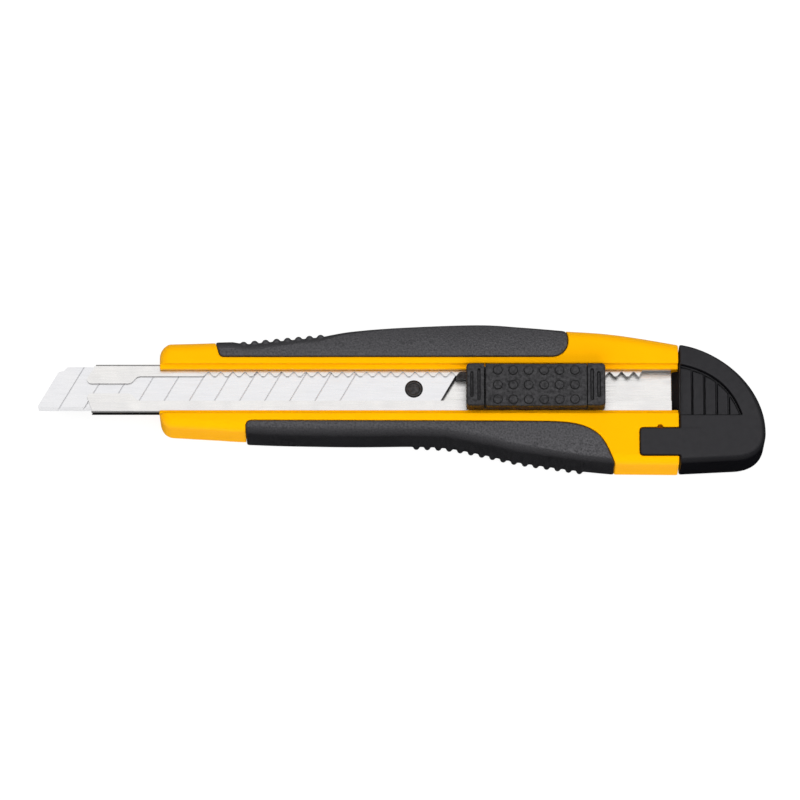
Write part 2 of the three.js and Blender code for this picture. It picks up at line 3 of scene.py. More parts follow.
import bmesh
import bpy
import numpy as np
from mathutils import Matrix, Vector

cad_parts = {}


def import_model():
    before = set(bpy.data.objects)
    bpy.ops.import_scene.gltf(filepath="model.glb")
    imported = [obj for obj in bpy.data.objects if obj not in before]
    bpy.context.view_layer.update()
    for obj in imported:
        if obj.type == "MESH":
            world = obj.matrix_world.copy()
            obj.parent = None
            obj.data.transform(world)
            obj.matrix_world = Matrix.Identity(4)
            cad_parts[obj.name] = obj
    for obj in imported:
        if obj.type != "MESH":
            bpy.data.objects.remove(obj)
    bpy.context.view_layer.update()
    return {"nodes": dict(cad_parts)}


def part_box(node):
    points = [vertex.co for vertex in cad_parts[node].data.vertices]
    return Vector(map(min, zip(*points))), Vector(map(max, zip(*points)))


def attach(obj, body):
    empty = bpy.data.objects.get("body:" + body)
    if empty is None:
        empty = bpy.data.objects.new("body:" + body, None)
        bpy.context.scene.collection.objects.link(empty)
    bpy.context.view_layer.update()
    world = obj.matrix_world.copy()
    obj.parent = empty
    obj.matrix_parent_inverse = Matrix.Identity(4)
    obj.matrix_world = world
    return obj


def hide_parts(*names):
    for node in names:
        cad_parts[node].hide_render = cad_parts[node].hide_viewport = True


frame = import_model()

# The moulded pieces are made from signed distances: each is a field of distances to its
# surface, negative inside, joined and cut with small fillets, and then meshed. Everything is
# in millimetres, measured from the middle of the slider track as in the CAD source, and is
# moved and scaled into the frame when the mesh is made.

MM = 0.001
SLIDER_LOW, SLIDER_HIGH = (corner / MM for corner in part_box("slider_base"))
BODY_LOW, BODY_HIGH = (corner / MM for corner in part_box("handle_body"))
CAP_LOW, CAP_HIGH = (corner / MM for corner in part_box("end_cap"))
PAD_LOW, PAD_HIGH = (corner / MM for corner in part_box("slider_pad"))
CARRIER_LOW, CARRIER_HIGH = (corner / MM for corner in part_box("blade_carrier"))
SLEEVE_LOW, SLEEVE_HIGH = (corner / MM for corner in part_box("blade_sleeve"))
BLADE_LOW, BLADE_HIGH = (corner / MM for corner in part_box("blade"))

TRACK_MIDDLE_Y = (SLIDER_LOW.y + SLIDER_HIGH.y) / 2
THICKNESS = BODY_HIGH.z
NOSE_X = BODY_LOW.x
BODY_END_X = BODY_HIGH.x
CAP_END_X = CAP_HIGH.x
CAP_FRONT_X = BODY_END_X + 0.2

TRACK_HALF = 5.05
LEDGE_Z = 9.65
LEDGE_HALF = 4.25
LEDGE_THICKNESS = 1.3
SLEEVE_Y = (SLEEVE_LOW.y + SLEEVE_HIGH.y) / 2 - TRACK_MIDDLE_Y
SLEEVE_HALF = (SLEEVE_HIGH.y - SLEEVE_LOW.y) / 2
LIP_TOP_Y = 3.1
LIP_LOW_Y = -1.95
NOSE_LIP_TOP_Y = 1.6
NOSE_LIP_LOW_Y = -0.45
LIP_BEND_X = (-54.6, -53.0, -53.4, -51.8)
LIP_END_X = 47.4                     # behind this the upper lip is cut back under the ledge
LIP_END_Y = 4.35
SHEET = 0.35
SLEEVE_BEND = 0.45
NOTCH_COUNT = 36
NOTCH_PITCH = 2.42
NOTCH_FIRST_X = -38.4
NOTCH_DEPTH = 0.95

BLADE_WIDTH = BLADE_HIGH.y - BLADE_LOW.y
TIP_BLUNT = 1.0
FIRST_SCORE = 3.97                   # from the tip
SEGMENT_PITCH = 5.0
SCORE_COUNT = 12
SLANT = 1 / math.tan(math.radians(60))
BEVEL_WIDTH = 0.75
BLADE_TAIL_X = 6.6
BOSS_X = 2.5
BOSS_RADIUS = 1.7
LOCK_NOSE_X = NOTCH_FIRST_X + 21 * NOTCH_PITCH

BODY_RIM = 2.0
GRIP_RIM = 2.2
CAP_RIM = 1.3
GRIP_SKIN = 1.8
GRIP_PROUD = 0.12
UPPER_RIB_RADIUS = 0.75
LOWER_RIB_RADIUS = 0.62

TAB_FRONT_X = CAP_LOW.x
TAB_TOP_Y = -8.16
TAB_LOW_Y = -13.8
TAB_THICKNESS = 1.4

CROWN_DROP = 0.9                     # how far the cap's face falls towards its round side
RECESS_GAP = 0.25                    # from the cap's front to its finger recess
RECESS_DEPTH = 1.6
CAP_RIB_COUNT = 5
CAP_RIB_PITCH = 2.42
CAP_RIB_SLIT = 0.35                  # between one rib and the next
CAP_RIB_RISE = 0.45                  # each rib's slope from front to rear

END_BLOCK = 3.55                     # the slider's blocks, along X
GROOVE_DEPTH = 0.55
STUD_COLUMNS = 6
STUD_ROWS = (-1, 0, 1)
STUD_PITCH_X = 3.06
STUD_PITCH_Y = 3.0
STUD_RADIUS = 0.92
STUD_HEIGHT = 0.35
DISH_DEPTH = 0.25                    # of the pad, at its middle

VIEW_WIDTH = 0.159046                # metres across the picture, at the knife

FINE = 1.0


# ---------- curves ----------

def bezier(a, b, c, d, count=14):
    """Points of a cubic curve, without its first point."""
    found = []
    for i in range(1, count + 1):
        t = i / count
        s = 1 - t
        found.append(tuple(
            s ** 3 * a[k] + 3 * s * s * t * b[k] + 3 * s * t * t * c[k] + t ** 3 * d[k]
            for k in range(2)))
    return found


def spline(knots, per_span=10):
    """Points of a smooth curve through the knots."""
    found = [tuple(knots[0])]
    padded = [knots[0], *knots, knots[-1]]
    for i in range(1, len(padded) - 2):
        p0, p1, p2, p3 = (np.array(p, float) for p in padded[i - 1:i + 3])
        for k in range(1, per_span + 1):
            t = k / per_span
            point = 0.5 * (2 * p1 + (p2 - p0) * t + (2 * p0 - 5 * p1 + 4 * p2 - p3) * t * t
                           + (3 * p1 - p0 - 3 * p2 + p3) * t ** 3)
            found.append(tuple(point))
    return found


# ---------- signed distances ----------

class Grid:
    """Sample points in a box, in millimetres."""

    def __init__(self, low, high, step):
        self.low = np.array(low, float) - 2 * step
        self.step = step
        counts = np.ceil((np.array(high, float) + 2 * step - self.low) / step).astype(int) + 1
        axes = [self.low[k] + step * np.arange(counts[k]) for k in range(3)]
        self.x = axes[0][:, None, None].astype(np.float32)
        self.y = axes[1][None, :, None].astype(np.float32)
        self.z = axes[2][None, None, :].astype(np.float32)

    def polygon(self, outline):
        """Distance to an outline in X and Y, the same at every height."""
        x, y = self.x[:, :, 0], self.y[:, :, 0]
        nearest = np.full((x.shape[0], y.shape[1]), 1e9, np.float32)
        inside = np.zeros(nearest.shape, bool)
        for (ax, ay), (bx, by) in zip(outline, outline[1:] + outline[:1]):
            ex, ey = bx - ax, by - ay
            length = ex * ex + ey * ey
            if length < 1e-12:
                continue
            wx, wy = x - ax, y - ay
            t = np.clip((wx * ex + wy * ey) / length, 0, 1)
            nearest = np.minimum(nearest, (wx - ex * t) ** 2 + (wy - ey * t) ** 2)
            if ey != 0:
                crosses = (ay > y) != (by > y)
                inside ^= crosses & (x < ax + ex * (y - ay) / ey)
        distance = np.sqrt(nearest)
        return np.where(inside, -distance, distance)[:, :, None]

    def box(self, x0, x1, y0, y1, z0, z1, radius=0.0):
        q = [abs(axis - (a + b) / 2) - (b - a) / 2 + radius
             for axis, a, b in ((self.x, x0, x1), (self.y, y0, y1), (self.z, z0, z1))]
        outside = np.sqrt(sum(np.maximum(part, 0) ** 2 for part in q))
        return outside + np.minimum(np.maximum(np.maximum(q[0], q[1]), q[2]), 0) - radius

    def cylinder(self, x, y, z0, z1, radius, edge=0.0):
        """An upright round pin, with its ends rounded by edge."""
        flat = np.sqrt((self.x - x) ** 2 + (self.y - y) ** 2) - radius
        return self.extrude(flat, z0, z1, edge)

    def extrude(self, flat, z0, z1, edge=0.0, low_edge=None):
        """A flat distance made solid between two heights, with its rims rounded."""
        low_edge = edge if low_edge is None else low_edge
        middle = (z0 + z1) / 2
        rim = np.where(self.z > middle, edge, low_edge).astype(np.float32)
        q = flat + rim
        w = abs(self.z - middle) - (z1 - z0) / 2 + rim
        outside = np.sqrt(np.maximum(q, 0) ** 2 + np.maximum(w, 0) ** 2)
        return np.minimum(np.maximum(q, w), 0) + outside - rim


def join(a, b, fillet=0.0):
    if fillet <= 0:
        return np.minimum(a, b)
    share = np.clip(0.5 + 0.5 * (b - a) / fillet, 0, 1)
    return b + (a - b) * share - fillet * share * (1 - share)


def common(a, b, fillet=0.0):
    return -join(-a, -b, fillet)


def cut(a, b, fillet=0.0):
    return common(a, -b, fillet)


def sample(field, places):
    """Values and slopes of the field at places given in voxels."""
    base = np.clip(np.floor(places).astype(int), 0, np.array(field.shape) - 2)
    t = places - base
    value = np.zeros(len(places))
    slope = np.zeros((len(places), 3))
    for dx in (0, 1):
        for dy in (0, 1):
            for dz in (0, 1):
                corner = field[base[:, 0] + dx, base[:, 1] + dy, base[:, 2] + dz]
                weight = [t[:, k] if d else 1 - t[:, k] for k, d in enumerate((dx, dy, dz))]
                value += corner * weight[0] * weight[1] * weight[2]
                slope[:, 0] += corner * (2 * dx - 1) * weight[1] * weight[2]
                slope[:, 1] += corner * (2 * dy - 1) * weight[0] * weight[2]
                slope[:, 2] += corner * (2 * dz - 1) * weight[0] * weight[1]
    return value, slope


def skin(field):
    """Quads over the zero surface of a field: one vertex in each voxel that the surface crosses."""
    inside = field < 0
    points, flips, corners = [], [], []
    for axis in range(3):
        low = tuple(slice(None, -1) if k == axis else slice(1, -1) for k in range(3))
        high = tuple(slice(1, None) if k == axis else slice(1, -1) for k in range(3))
        at = np.argwhere(inside[low] != inside[high])
        at += np.array([0 if k == axis else 1 for k in range(3)])
        step = np.zeros(3, int)
        step[axis] = 1
        first = field[tuple(at.T)]
        second = field[tuple((at + step).T)]
        crossing = at.astype(float)
        crossing[:, axis] += first / (first - second)
        u, v = np.eye(3, dtype=int)[(axis + 1) % 3], np.eye(3, dtype=int)[(axis + 2) % 3]
        quad = np.stack([at - u - v, at - v, at, at - u], axis=1)
        cells = np.ravel_multi_index(tuple(quad.reshape(-1, 3).T), field.shape)
        corners.append(cells.reshape(-1, 4))
        points.append(crossing)
        flips.append(first > 0)
    corners = np.concatenate(corners)
    points = np.repeat(np.concatenate(points), 4, axis=0)
    flips = np.concatenate(flips)
    names, index = np.unique(corners.ravel(), return_inverse=True)
    count = np.bincount(index, minlength=len(names))
    vertices = np.stack([np.bincount(index, points[:, k], len(names)) / count
                         for k in range(3)], axis=1)
    faces = index.reshape(-1, 4)
    faces[flips] = faces[flips][:, ::-1]
    for _ in range(2):                   # draws each vertex on to the surface
        value, slope = sample(field, vertices)
        size = np.maximum((slope ** 2).sum(axis=1), 0.25 * (slope ** 2).sum(axis=1).mean())
        move = slope * (value / size)[:, None]
        vertices -= np.clip(move, -0.6, 0.6)
    return vertices, faces


def mesh_object(name, vertices, faces):
    mesh = bpy.data.meshes.new(name)
    mesh.vertices.add(len(vertices))
    mesh.vertices.foreach_set("co", vertices.astype(np.float32).ravel())
    sides = faces.shape[1]
    mesh.loops.add(faces.size)
    mesh.loops.foreach_set("vertex_index", faces.astype(np.int32).ravel())
    mesh.polygons.add(len(faces))
    mesh.polygons.foreach_set("loop_start", np.arange(0, faces.size, sides, dtype=np.int32))
    mesh.polygons.foreach_set("use_smooth", np.ones(len(faces), bool))
    mesh.update(calc_edges=True)
    mesh.validate()
    piece = bpy.data.objects.new(name, mesh)
    bpy.context.scene.collection.objects.link(piece)
    return piece


def moulded(name, grid, field, keep=1.0):
    """A piece from a field, in the frame's metres. keep is the share of its faces that stay."""
    vertices, faces = skin(np.ascontiguousarray(np.broadcast_to(
        field, (grid.x.shape[0], grid.y.shape[1], grid.z.shape[2]))))
    vertices = vertices * grid.step + grid.low
    vertices[:, 1] += TRACK_MIDDLE_Y
    piece = mesh_object(name, vertices * MM, faces)
    if keep < 1:
        fewer = piece.modifiers.new("fewer_faces", "DECIMATE")
        fewer.ratio = keep
    return piece


# ---------- outlines of the handle ----------

def body_outline():
    outline = [(NOSE_X, -4.5)]
    outline += bezier((NOSE_X, -4.5), (NOSE_X, -6.3), (-47.2, -7.8), (-45.4, -7.9))
    outline += spline([(-45.4, -7.9), (-36.8, -8.4), (-29, -8.8), (-5, -9.2), (12, -10.4), (30, -13.9),
                       (42, -15.4)])[1:]
    outline += [(BODY_END_X + 4, -15.55), (BODY_END_X + 4, 8.3)]
    outline += spline([(BODY_END_X, 9.2), (43.1, 11.2), (33, 12), (15, 12.7), (0, 12.2), (-15, 10.8),
                       (-35, 9.7), (-46, 9.35)])
    outline += bezier((-46, 9.35), (-47, 9.2), (NOSE_X, 8), (NOSE_X, 6.6))
    return outline


def upper_silhouette():
    outline = [(-42, 2), (40, 2), (40, 11.4)]
    outline += spline([(34, 12), (24, 12.85), (15, 13.35), (0, 12.8), (-9.4, 12.05), (-14, 11.3)])
    return outline + [(-16, 10.85), (-31, 9.4), (-33.6, 9.85), (-42, 9.65)]


LOWER_EDGE = [(3, -9.62), (9.5, -10), (16.1, -11.25), (22.7, -12.75), (29.1, -13.75),
              (36, -14.7), (42.5, -15.35)]


def lower_silhouette():
    outline = [(-36, -3), (-36, -9)]
    outline += spline([(-29.7, -9.25), (-22.5, -9.5), (-9.4, -9.7), *LOWER_EDGE])
    return outline + [(50, -15.6), (50, -3)]


def upper_area():
    outline = [(-38.7, 16), (-36.35, 7.3)]
    outline += bezier((-36.35, 7.3), (-36.15, 6.7), (-35.9, 6.4), (-35.3, 6.4), 6)
    outline += [(29.8, 6.4)]
    outline += bezier((29.8, 6.4), (32, 6.4), (33.2, 8), (33.2, 9.8))
    outline += bezier((33.2, 9.8), (33.2, 11), (32.8, 12), (32.2, 12.6), 6)
    return outline + [(32.2, 16)]


def lower_area():
    outline = [(-30.2, -18), (-30.9, -7.9)]
    outline += bezier((-30.9, -7.9), (-30.9, -7.1), (-30.5, -6.65), (-29.7, -6.65), 6)
    outline += [(21.6, -6.8)]
    outline += bezier((21.6, -6.8), (31, -6.9), (35, -6.6), (38.4, -8.9))
    outline += bezier((38.4, -8.9), (40.6, -10.4), (41.2, -13), (42.4, -15.2))
    return outline + [(43.2, -18)]


def upper_shoulder():
    edge = spline([(33, 10.1), (15, 11.5), (0, 10.9), (-15, 9.2), (-36, 7.8)])
    return [(-36, 6), (33, 6), (33, 10.1)] + edge


def lower_shoulder():
    edge = spline([(-30.5, -7.5), (-9.4, -7.8), (1.3, -7.8), (16.1, -9.4), (32, -12.2), (41, -13.2)])
    return [(-30.5, -6)] + edge + [(41, -6)]


# ---------- moulded pieces ----------

def handle_body():
    off_plane = 0.07                    # keeps the flat front between two layers of voxels
    grid = Grid((NOSE_X - off_plane, -15.7, 0), (BODY_END_X, 12.4, THICKNESS), 0.2 * FINE)
    beyond = 3
    field = grid.extrude(grid.polygon(body_outline()), 0, THICKNESS, BODY_RIM, 1.6)
    field = common(field, grid.x - BODY_END_X, 0.3)
    seam = 0.06
    field = cut(field, grid.polygon(upper_area()) - seam, 0.15)
    field = cut(field, grid.polygon(lower_area()) - seam, 0.15)
    for shoulder in (upper_shoulder(), lower_shoulder()):
        core = grid.extrude(grid.polygon(shoulder), GRIP_SKIN, THICKNESS - GRIP_SKIN, 0.5)
        field = join(field, core)
    front, rear = NOSE_X - beyond, BODY_END_X + beyond
    track = grid.box(front, rear, -TRACK_HALF, TRACK_HALF, LEDGE_Z, THICKNESS + beyond)
    opening = grid.box(front, rear, -LEDGE_HALF, LEDGE_HALF, LEDGE_Z - LEDGE_THICKNESS - 0.3, THICKNESS)
    pocket_half = SLEEVE_HALF + 0.1
    pocket = grid.box(front, rear, SLEEVE_Y - pocket_half, SLEEVE_Y + pocket_half,
                      SLEEVE_LOW.z - 0.1, LEDGE_Z - LEDGE_THICKNESS)
    field = cut(field, track, 0.2)
    field = cut(field, opening, 0.15)
    field = cut(field, pocket)
    recess = grid.box(TAB_FRONT_X - 0.12, rear, TAB_LOW_Y - 0.12, TAB_TOP_Y + 0.12,
                      THICKNESS - TAB_THICKNESS - 0.1, THICKNESS + beyond, 0.75)
    field = cut(field, recess, 0.2)
    detent = grid.cylinder(51.4, TAB_TOP_Y + 0.1, THICKNESS - 2.4, THICKNESS + 1, 0.6)
    field = cut(field, detent, 0.06)
    socket = grid.box(49.3, rear, -3.4, 4.6, 1.7, 5.2, 0.2)
    return moulded("body_moulding", grid, cut(field, socket), 0.5)


def ribs(grid, places, low, high, radius, lean):
    """Ribs between two heights, round at their ends, which lean along Y as they rise."""
    field = None
    for x, y in places:
        across = grid.y - y - lean * (grid.z - low)
        rib = grid.extrude(np.sqrt((grid.x - x) ** 2 + across ** 2) - radius, low, high, 0.9 * radius)
        field = rib if field is None else np.minimum(field, rib)
    return field


def even_places(knots, count, share=1.0):
    """Places at equal distances along a curve, over the first share of its length."""
    line = np.array(spline(knots, 30))
    travelled = np.concatenate([[0], np.cumsum(np.hypot(*np.diff(line, axis=0).T))])
    wanted = np.linspace(0, travelled[-1] * share, count)
    return list(zip(np.interp(wanted, travelled, line[:, 0]), np.interp(wanted, travelled, line[:, 1])))


def grip(name, low, high, silhouette, area, shoulder, ribs_of, slope_start, slope_end, sag):
    """A soft grip. Its face slopes away from slope_start to slope_end, by sag."""
    grid = Grid(low, high, 0.15 * FINE)
    share = np.maximum((grid.y - slope_start) / (slope_end - slope_start), 0)
    height = grid.z + sag * share ** 2
    field = grid.extrude(grid.polygon(silhouette), 0, THICKNESS + GRIP_PROUD, GRIP_RIM, 1.2)
    field = np.maximum(field, height - THICKNESS - GRIP_PROUD)
    field = join(field, ribs_of(grid), 0.25)
    field = common(field, grid.polygon(area), 0.45)
    core = grid.extrude(grid.polygon(shoulder), GRIP_SKIN, THICKNESS - GRIP_SKIN, 0.5)
    return moulded(name, grid, cut(field, core - 0.1), 0.5)


def upper_grip():
    places = [(-31.4 + i * 2.186, 9.0 + i * 0.205) for i in range(8)]

    def ribs_of(grid):
        return ribs(grid, places, 1.5, THICKNESS - 0.5, UPPER_RIB_RADIUS, 0)

    return grip("upper_grip_moulding", (-37.5, 6, 0), (33.5, 13.8, THICKNESS + 0.3),
                upper_silhouette(), upper_area(), upper_shoulder(), ribs_of, 6.5, 13, 1.1)


def lower_grip():
    places = [(x, y + 0.05) for x, y in even_places(LOWER_EDGE, 16, 0.825)]

    def ribs_of(grid):
        return ribs(grid, places, 0.3, THICKNESS - 2.6, LOWER_RIB_RADIUS, 0.1)

    return grip("lower_grip_moulding", (-31.2, -15.9, 0), (43.2, -6.4, THICKNESS + 0.3),
                lower_silhouette(), lower_area(), lower_shoulder(), ribs_of, -7, -15, 0.5)


def cap_outline():
    outline = [(CAP_FRONT_X - 5, -15.6), (66.2, -14.8)]
    outline += bezier((66.2, -14.8), (70, -14.6), (CAP_END_X, -12.6), (CAP_END_X, -9))
    outline += bezier((CAP_END_X, -9), (CAP_END_X, 0.5), (63.5, 8), (CAP_FRONT_X, 9.15), 30)
    return outline + [(CAP_FRONT_X - 5, 9.9)]


def recess_outline(inset=0.0):
    """The quarter-round finger recess, smaller by inset along its curve."""
    start, low = CAP_FRONT_X + RECESS_GAP, -5.5
    tip = (67.7 - inset, low)
    round_side = bezier(tip, (65.8 - inset, 0.2), (62 - inset, 3.6 - inset), (start, 5 - inset), 24)
    return [(start, low), tip] + round_side


def end_cap():
    grid = Grid((TAB_FRONT_X, -15.7, 0), (CAP_END_X, 9.3, THICKNESS), 0.15 * FINE)
    field = grid.extrude(grid.polygon(cap_outline()), 0, THICKNESS, CAP_RIM)
    crown = CROWN_DROP * (np.maximum(grid.y + 6, 0) / 15) ** 2
    field = np.maximum(field, grid.z - THICKNESS + crown)
    field = common(field, CAP_FRONT_X - grid.x, 0.5)
    tab = grid.box(TAB_FRONT_X, CAP_FRONT_X + 4, TAB_LOW_Y, TAB_TOP_Y, THICKNESS - TAB_THICKNESS,
                   THICKNESS + 2, 0.7)
    tab = common(tab, grid.z - THICKNESS, 0.3)
    field = join(field, tab, 0.15)
    recess = grid.extrude(grid.polygon(recess_outline()), THICKNESS - RECESS_DEPTH, THICKNESS + 2)
    field = cut(field, recess, 0.15)
    ribbed = grid.polygon(recess_outline(0.5))
    for i in range(CAP_RIB_COUNT):
        start = CAP_FRONT_X + RECESS_GAP + i * CAP_RIB_PITCH
        end = start + CAP_RIB_PITCH - CAP_RIB_SLIT
        height = THICKNESS - 0.9 - crown + CAP_RIB_RISE * (grid.x - start) / CAP_RIB_PITCH
        rib = np.maximum(grid.box(start, end, -8, 8, 6, THICKNESS + 2), ribbed)
        field = join(field, np.maximum(rib, grid.z - height), 0.08)
    spigot = grid.box(49.6, CAP_FRONT_X + 2, -3.2, 4.4, 1.95, 4.95, 0.3)
    stop_top = 8.2
    stop = grid.box(SLEEVE_HIGH.x + 0.06, CAP_FRONT_X + 2, -4.2, 4.2, 5.9, stop_top)
    stop = np.maximum(stop, grid.z - stop_top - (grid.x - CAP_FRONT_X))
    return moulded("cap_moulding", grid, join(join(field, spigot), stop), 0.6)


def slider_base():
    front, rear = SLIDER_LOW.x, SLIDER_HIGH.x
    half = (SLIDER_HIGH.y - SLIDER_LOW.y) / 2
    top = SLIDER_HIGH.z
    grid = Grid((front, -half, SLIDER_LOW.z), (rear, half, top), 0.1 * FINE)
    plan = grid.box(front, rear, -half, half, -50, 50, 0.7)
    field = grid.extrude(plan, SLIDER_LOW.z, top, 0.35, 0.1)
    seat = grid.box(front + END_BLOCK, rear - END_BLOCK, -20, 20, 11.2, 30)
    field = cut(field, seat, 0.12)
    for x, length, width in ((front + 1.1, 2.6, 0.5), (front + 2.5, 3.2, 0.5),
                             (rear - 2.65, 3.2, 0.62), (rear - 1.3, 2.6, 0.62)):
        groove = grid.box(x - width / 2, x + width / 2, -length, length, top - GROOVE_DEPTH, top + 2,
                          width * 0.45)
        field = cut(field, groove, 0.12)
    return moulded("slider_base_moulding", grid, field, 0.6)


def slider_pad():
    front, rear = PAD_LOW.x, PAD_HIGH.x
    half = (PAD_HIGH.y - PAD_LOW.y) / 2
    top = PAD_HIGH.z - STUD_HEIGHT
    grid = Grid((front, -half, PAD_LOW.z), (rear, half, PAD_HIGH.z), 0.09 * FINE)
    middle = (front + rear) / 2

    def dish(x):
        return DISH_DEPTH * (1 - ((x - middle) / (rear - middle)) ** 2)

    plan = grid.box(front, rear, -half, half, -50, 50, 0.25)
    field = grid.extrude(plan, PAD_LOW.z, top, 0.15)
    field = common(field, grid.z - (top - dish(grid.x)), 0.15)
    for column in range(STUD_COLUMNS):
        x = middle + (column - (STUD_COLUMNS - 1) / 2) * STUD_PITCH_X
        stud_top = top + STUD_HEIGHT - dish(x)
        for row in STUD_ROWS:
            y = row * STUD_PITCH_Y - 0.05
            field = join(field, grid.cylinder(x, y, top - 1, stud_top, STUD_RADIUS, 0.24), 0.06)
    return moulded("pad_moulding", grid, field, 0.6)


def blade_carrier():
    low, high = SLEEVE_Y - 3.9, SLEEVE_Y + 3.9
    floor_z, plate_top = CARRIER_LOW.z, BLADE_LOW.z - 0.06
    block_top = SLEEVE_HIGH.z - SHEET - 0.1
    block_front, block_end = SLIDER_LOW.x + 0.4, CARRIER_HIGH.x
    grid = Grid((CARRIER_LOW.x, low, floor_z), (block_end, high, CARRIER_HIGH.z), 0.1 * FINE)
    plate = [(BOSS_X - 3.4, low), (BLADE_TAIL_X + 0.12 + 0.6 * SLANT, low),
             (BLADE_TAIL_X + 0.45 + 8.4 * SLANT, high), (BOSS_X - 3.4 + 4 * SLANT, high)]
    field = grid.extrude(grid.polygon(plate), floor_z, plate_top)
    boss = grid.cylinder(BOSS_X, SLEEVE_Y, floor_z, block_top, BOSS_RADIUS, 0.28)
    dimple = grid.cylinder(BOSS_X, SLEEVE_Y, block_top - 0.12, block_top + 1, 1.15)
    field = join(field, cut(boss, dimple, 0.1))
    field = join(field, grid.box(BOSS_X, block_front + 0.6, low, LIP_LOW_Y - 0.1, floor_z, plate_top))
    field = join(field, grid.box(block_front, block_end, low, high, floor_z, block_top, 0.15))
    neck = grid.box(block_front + 1, block_end - 0.8, LIP_LOW_Y + 0.2, LIP_TOP_Y - 0.2,
                    block_top - 0.5, CARRIER_HIGH.z, 0.3)
    field = join(field, neck, 0.1)
    slot = grid.box(block_front - 2, block_end - 3.9, 1.9, 4.05, 6.3, block_top + 1)
    root = grid.box(block_end - 4, block_end - 1.9, 3.2, 3.7, 6.3, block_top + 1)
    return moulded("carrier_moulding", grid, cut(field, np.minimum(slot, root)), 0.6)


def lock_nose():
    tip = LIP_TOP_Y + NOTCH_DEPTH - 0.15
    front, shoulder, heel = LOCK_NOSE_X - 1.5, LOCK_NOSE_X + 0.7, LOCK_NOSE_X + 1.6
    low, heel_low, high = 2.5, 2.85, LIP_TOP_Y - 0.2
    wing_z, wing_top = 8.4, 8.9
    grid = Grid((front, low, 6.4), (heel, tip, wing_top), 0.05 * FINE)
    nose = [(front, low), (shoulder, low), (shoulder, heel_low), (heel, heel_low), (heel, 3.3),
            (LOCK_NOSE_X + 0.5, tip), (LOCK_NOSE_X - 0.5, tip), (front, heel_low)]
    wing = [(front, low), (shoulder, low), (shoulder, tip - 0.05), (front + 0.7, tip - 0.05),
            (front, high + 0.1)]
    field = grid.extrude(grid.polygon(nose), 6.4, 7.65, 0.08)
    field = join(field, grid.box(front, shoulder, low, high, 6.4, wing_top, 0.08))
    field = join(field, grid.extrude(grid.polygon(wing), wing_z, wing_top, 0.12), 0.05)
    return moulded("lock_nose_moulding", grid, field, 0.6)


# ---------- sheet pieces ----------

def finished(name, mesh):
    """A piece from a mesh in millimetres, in the frame's metres."""
    bmesh.ops.recalc_face_normals(mesh, faces=mesh.faces[:])
    for vertex in mesh.verts:
        vertex.co = (vertex.co.x * MM, (vertex.co.y + TRACK_MIDDLE_Y) * MM, vertex.co.z * MM)
    data = bpy.data.meshes.new(name)
    mesh.to_mesh(data)
    mesh.free()
    piece = bpy.data.objects.new(name, data)
    bpy.context.scene.collection.objects.link(piece)
    return piece


def extruded(name, outline, z0, z1):
    mesh = bmesh.new()
    face = mesh.faces.new([mesh.verts.new((x, y, z0)) for x, y in outline])
    top = bmesh.ops.extrude_face_region(mesh, geom=[face])["geom"]
    for vertex in (item for item in top if isinstance(item, bmesh.types.BMVert)):
        vertex.co.z = z1
    return finished(name, mesh)


def carve(piece, cutter):
    """Take a cutter out of a piece, and remove the cutter."""
    step = piece.modifiers.new("carve", "BOOLEAN")
    step.operation = "DIFFERENCE"
    step.solver = "EXACT"
    step.object = cutter
    shape = bpy.data.meshes.new_from_object(piece.evaluated_get(bpy.context.evaluated_depsgraph_get()))
    piece.modifiers.clear()
    piece.data = shape
    bpy.data.objects.remove(cutter)


def soften(piece, width, angle=35):
    """Round the sharp edges and shade the rest smooth."""
    for face in piece.data.polygons:
        face.use_smooth = True
    soft = piece.modifiers.new("soft_edges", "BEVEL")
    soft.width = width * MM
    soft.segments = 2
    soft.limit_method = "ANGLE"
    soft.angle_limit = math.radians(angle)
    soft.harden_normals = True


def circle(x, y, radius, count=48):
    return [(x + radius * math.cos(math.tau * i / count), y + radius * math.sin(math.tau * i / count))
            for i in range(count)]


